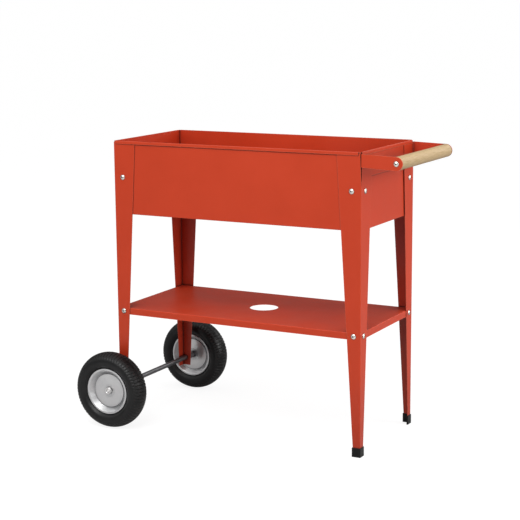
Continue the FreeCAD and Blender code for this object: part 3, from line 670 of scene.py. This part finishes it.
def tyreSection():
    # each point of the half section with its way into the rubber and its share of the ribs
    half = tyreLine()
    section = []
    for i, (radius, height) in enumerate(half):
        share = min(1, max(0, (radius - tyre["ribFrom"]) / (tyre["ribFull"] - tyre["ribFrom"])))
        before, after = half[max(i - 1, 0)], half[min(i + 1, len(half) - 1)]
        along = Vector((after[0] - before[0], after[1] - before[1])).normalized()
        inward = Vector((-along.y, along.x)) if i else Vector((-1, 0))
        dent = 0.0
        for at, depth in tyre["wallLines"]:
            dent += depth * math.exp(-((radius - at) / tyre["lineHalf"]) ** 2)
        spot = Vector((radius, height)) + inward * dent
        section.append((spot.x, spot.y, inward, share))
    section[0] = (section[0][0] - tyre["centreGroove"], 0.0, Vector((-1, 0)), 0.0)
    lip = Vector((tyre["radius"] - tyre["grooveLip"], tyre["grooveHalf"]))
    section.insert(1, (lip.x, lip.y, Vector((-1, 0)), 1.0))
    return section


def buildTyre(name, side):
    upper = tyreSection()
    lower = [(r, -h, Vector((n.x, -n.y)), s) for r, h, n, s in upper[:0:-1]]
    ring = lower + upper
    for height in (tyre["barrelHalf"], -tyre["barrelHalf"]):
        ring.append((tyre["bore"], height, Vector((0, 0)), 0.0))
    verts, columns = [], []
    for rib in range(tyre["ribs"]):
        for part, sunk in tyre["ribShape"]:
            columns.append(((rib + part) / tyre["ribs"] * math.tau, sunk))
    for angle, sunk in columns:
        for r, h, n, s in ring:
            spot = Vector((r, h)) + n * (tyre["ribDepth"] * s * sunk)
            verts.append((spot.x * mm * math.cos(angle), spot.x * mm * math.sin(angle), spot.y * mm))
    faces = ringFaces(len(columns), len(ring), len(ring))
    mesh = bpy.data.meshes.new("ribbedTyre_" + name)
    mesh.from_pydata(verts, [], faces)
    mesh = bakeTurn(mesh, [outwards(side, centreOf("tyre_" + name))])
    showPiece(mesh, rubberBlack, "wheel_" + name, ["tyre_" + name], tyre["creaseAngle"])


# pressed wheel discs: sunken face, cone, flat ring and a rolled edge

pressedDisc = {
    "skin": 1.2,
    "bore": 10.05,
    "face": 13.0,  # height of the sunken face
    "dish": 50.0,
    "ring": 60.0,
    "rim": 65.4,
    "height": 25.0,
    "edgeDrop": 2.7,
    "bend": 1.8,
    "footGroove": 1.7,  # pressed line at the foot of the cone
    "footRise": 0.4,
    "footOut": 0.8,  # reach of the pressed line outside and inside the dish's edge
    "footIn": (1.0, 2.4),
    "stampRing": (16.5, 0.5),  # shallow stamped step round the hub
    "stampSlope": 1.6,
    "steps": 144,
}


def discOutline():
    disc = pressedDisc
    stampAt, stampRise = disc["stampRing"]
    bottom, ledge = disc["footIn"]
    low = disc["face"] - disc["footGroove"]
    line = [
        (disc["rim"], disc["height"] - disc["edgeDrop"]),
        (disc["rim"], disc["height"]),
        (disc["ring"], disc["height"]),
        (disc["dish"] + disc["footOut"], low + disc["footRise"]),
        (disc["dish"] - bottom, low),
        (disc["dish"] - ledge, disc["face"]),
        (stampAt + disc["stampSlope"], disc["face"]),
        (stampAt, disc["face"] - stampRise),
        (disc["bore"], disc["face"] - stampRise),
    ]
    return thicken(roundCorners(line, disc["bend"]), -disc["skin"])


def buildDiscs(name, side):
    centre = centreOf("tyre_" + name)
    for which, flip in (("outer", 1), ("inner", -1)):
        node = which + "_disc_" + name
        mesh = turnedMesh(which + "WheelDisc_" + name, discOutline(), pressedDisc["steps"])
        mesh = bakeTurn(mesh, [outwards(side * flip, centre)])
        showPiece(mesh, pressedZinc, "wheel_" + name, [node])


# push-on caps on the axle's ends

axleCap = {
    "flange": 10.0,
    "flangeRise": 1.1,
    "flangeEdge": 0.88,
    "crown": 8.6,
    "crownFlat": 0.93,  # share of the crown's radius where its top ends
    "crownTaper": 0.1,
    "shoulder": 2.6,
    "topDrop": 0.4,  # the middle and the edge of the top lie this much lower than the ring
    "middleDrop": 0.35,
    "height": 6.0,
    "groove": (4.6, 1.5),  # radius and depth of the stamped ring in its top
    "grooveIn": 1.5,
    "grooveOut": 1.3,
    "socket": (7.4, 2.6),  # radius and depth of the hollow that takes the axle
    "edgeRound": 0.9,
    "steps": 72,
    "creaseAngle": 50,
}


def buildAxleCaps():
    cap = axleCap
    ring, drop = cap["groove"]
    bore, depth = cap["socket"]
    top = cap["height"] - cap["topDrop"]
    line = [
        (0.0, cap["height"] - cap["middleDrop"]),
        (ring - cap["grooveIn"], top),
        (ring, top - drop),
        (ring + cap["grooveOut"], cap["height"]),
        (cap["crown"] * cap["crownFlat"], top),
        (cap["crown"], cap["height"] - cap["shoulder"]),
        (cap["crown"] + cap["crownTaper"], cap["flangeRise"]),
        (cap["flange"], cap["flangeEdge"]),
        (cap["flange"], 0.0),
    ]
    outline = roundCorners(line, cap["edgeRound"], 4) + [(bore, 0.0), (bore, depth), (0.0, depth)]
    mesh = turnedMesh("axlePushCaps", outline, cap["steps"], closed=False)
    low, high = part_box("axle_caps")
    middle = (low + high) / 2
    ends = []
    for name, side in sides:
        outer = high.y if side > 0 else -low.y
        foot = side * (outer - cap["height"] * mm)
        ends.append(outwards(side, Vector((middle.x, foot, middle.z))))
    mesh = bakeTurn(mesh, ends)
    showPiece(mesh, satinPlate, "cart", ["axle_caps"], cap["creaseAngle"])


# wooden grip between the two arms

grip = {
    "radius": 17.5,
    "endRound": 3.4,
    "endSteps": 7,
    "screwHole": 3.2,
    "holeBevel": 0.4,
    "holeDepth": 30.0,
    "steps": 96,
    "rows": 60,
    "sway": 0.12,  # hand-turned unevenness, mm
    "swayWaves": (23.0, 7.0),
}


def buildGrip():
    low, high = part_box("handle_grip")
    half = (high.y - low.y) / 2 / mm
    radius, ease, hole = grip["radius"], grip["endRound"], grip["screwHole"]
    deep = half - grip["holeDepth"]
    fast, slow = grip["swayWaves"]
    upper = [
        (hole, deep),
        (hole, half - grip["holeBevel"]),
        (hole + grip["holeBevel"], half),
        (radius - ease, half),
    ]
    for i in range(1, grip["endSteps"] + 1):
        a = math.pi / 2 * i / grip["endSteps"]
        upper.append((radius - ease + ease * math.sin(a), half - ease + ease * math.cos(a)))
    lower = [(r, -h) for r, h in upper[::-1]]
    wall = []
    for i in range(1, grip["rows"]):
        t = i / grip["rows"]
        y = (half - ease) * (1 - 2 * t)
        dip = grip["sway"] * (0.5 + 0.5 * math.sin(t * fast) * math.sin(t * slow + 1.0))
        wall.append((radius - dip, y))
    outline = [(0.0, deep)] + upper + wall + lower + [(0.0, -deep)]
    mesh = turnedMesh("woodenGrip", outline, grip["steps"], closed=False)
    mesh = bakeTurn(mesh, [outwards(1, (low + high) / 2)])
    showPiece(mesh, beech, "cart", ["handle_grip"])


for name, side in sides:
    buildTyre(name, side)
    buildDiscs(name, side)
buildAxleCaps()
buildGrip()
print("turned pieces built")


# camera and studio

camera = {
    "place": (1.8316, -3.4705, 1.1998),
    "yaw": 28.060,  # turned left from +Y
    "pitch": 10.527,  # looking down
    "roll": -0.458,
    "lens": 98.77,
    "sensor": 36.0,
    "farClip": 2000,
}

studio = {
    "seen": 1.0,  # what the lens sees behind everything
    "horizon": 0.15,
    "zenith": 1.20,
    "behind": 0.35,  # share of the sky's light that the back of the room gives
    "turn": (0.45, -0.25),  # where the sky changes from its back to its front, along Y
    "lamps": [  # name, place, aim, size, power
        ("frontBox", (0.15, -2.0, 2.3), (0.0, 0.0, 0.45), 1.5, 37.0),
        ("sideBox", (2.7, 0.45, 1.25), (0.37, 0.0, 0.60), 1.5, 39.0),
        ("foldBox", (2.9, -2.0, 0.9), (0.3, 0.0, 0.6), 0.8, 6.0),
        ("backBox", (1.2, 3.0, 1.7), (0.0, 0.2, 0.45), 1.5, 13.0),
    ],
    "floorSize": 900.0,
    "floorGlow": 0.870,  # the sweep's own brightness, which thins the shadows
    "floorSeen": 0.21,
    "floorGloss": (0.72, 0.44),  # in front of and behind the object
    "glossReach": 0.6,
    "floorBounce": 0.18,
}


def aimCamera():
    yaw, pitch, roll = (math.radians(camera[k]) for k in ("yaw", "pitch", "roll"))
    forward = Vector((-math.sin(yaw) * math.cos(pitch), math.cos(yaw) * math.cos(pitch), -math.sin(pitch)))
    right = Vector((math.cos(yaw), math.sin(yaw), 0))
    up = right.cross(forward)
    level = Matrix((right, up, -forward)).transposed()
    lens = bpy.data.cameras.new("camera")
    lens.lens = camera["lens"]
    lens.sensor_width = camera["sensor"]
    lens.clip_end = camera["farClip"]
    eye = bpy.data.objects.new("camera", lens)
    bpy.context.scene.collection.objects.link(eye)
    eye.matrix_world = Matrix.Translation(camera["place"]) @ (level @ Matrix.Rotation(roll, 3, "Z")).to_4x4()
    bpy.context.scene.camera = eye


def buildSky():
    world = bpy.data.worlds.new("studioSky")
    bpy.context.scene.world = world
    world.use_nodes = True
    tree = world.node_tree
    link = tree.links.new
    coords = addNode(tree, "TexCoord")
    split = addNode(tree, "SeparateXYZ")
    link(coords.outputs["Generated"], split.inputs["Vector"])
    height = spread(tree, split.outputs["Z"], 0.0, 1.0, studio["horizon"], studio["zenith"])
    front = spread(tree, split.outputs["Y"], *studio["turn"], studio["behind"], 1.0)
    rise = addNode(tree, "Math", operation="MULTIPLY")
    link(height, rise.inputs[0])
    link(front, rise.inputs[1])
    path = addNode(tree, "LightPath")
    pick = addNode(tree, "Mix", {"B": studio["seen"]}, data_type="FLOAT")
    link(path.outputs["Is Camera Ray"], pick.inputs["Factor"])
    link(rise.outputs["Value"], pick.inputs["A"])
    sky = tree.nodes["Background"]
    sky.inputs["Color"].default_value = (1, 1, 1, 1)
    link(pick.outputs["Result"], sky.inputs["Strength"])


def buildFloor():
    half = studio["floorSize"] / 2
    mesh = bpy.data.meshes.new("studioFloor")
    corners = [(-half, -half, 0), (half, -half, 0), (half, half, 0), (-half, half, 0)]
    mesh.from_pydata(corners, [], [(0, 1, 2, 3)])
    floor = bpy.data.objects.new("studioFloor", mesh)
    bpy.context.scene.collection.objects.link(floor)
    paper, tree, skin = newMaterial("paleFloor", Roughness=0.9)
    skin.inputs["Specular IOR Level"].default_value = 0.0
    path = addNode(tree, "LightPath")
    bounce, seen = (studio["floorBounce"],) * 3, (studio["floorSeen"],) * 3
    near, far = ((tone,) * 3 for tone in studio["floorGloss"])
    place = addNode(tree, "NewGeometry")
    split = addNode(tree, "SeparateXYZ")
    tree.links.new(place.outputs["Position"], split.inputs["Vector"])
    reach = studio["glossReach"]
    gloss = mixColour(tree, spread(tree, split.outputs["Y"], -reach, reach), near, far)
    mirrored = mixColour(tree, path.outputs["Is Diffuse Ray"], gloss, bounce)
    tree.links.new(mixColour(tree, path.outputs["Is Camera Ray"], mirrored, seen), skin.inputs["Base Color"])
    glow = addNode(tree, "Math", {1: studio["floorGlow"]}, operation="MULTIPLY")
    tree.links.new(path.outputs["Is Camera Ray"], glow.inputs[0])
    skin.inputs["Emission Color"].default_value = (1, 1, 1, 1)
    tree.links.new(glow.outputs["Value"], skin.inputs["Emission Strength"])
    mesh.materials.append(paper)


def hangLamps():
    for name, place, aim, size, power in studio["lamps"]:
        box = bpy.data.lights.new(name, "AREA")
        box.size = size
        box.energy = power
        lamp = bpy.data.objects.new(name, box)
        bpy.context.scene.collection.objects.link(lamp)
        lamp.location = place
        lamp.rotation_euler = (Vector(place) - Vector(aim)).to_track_quat("Z", "Y").to_euler()


aimCamera()
buildSky()
buildFloor()
hangLamps()
bpy.context.scene.view_settings.view_transform = "Standard"
print("camera and studio ready")
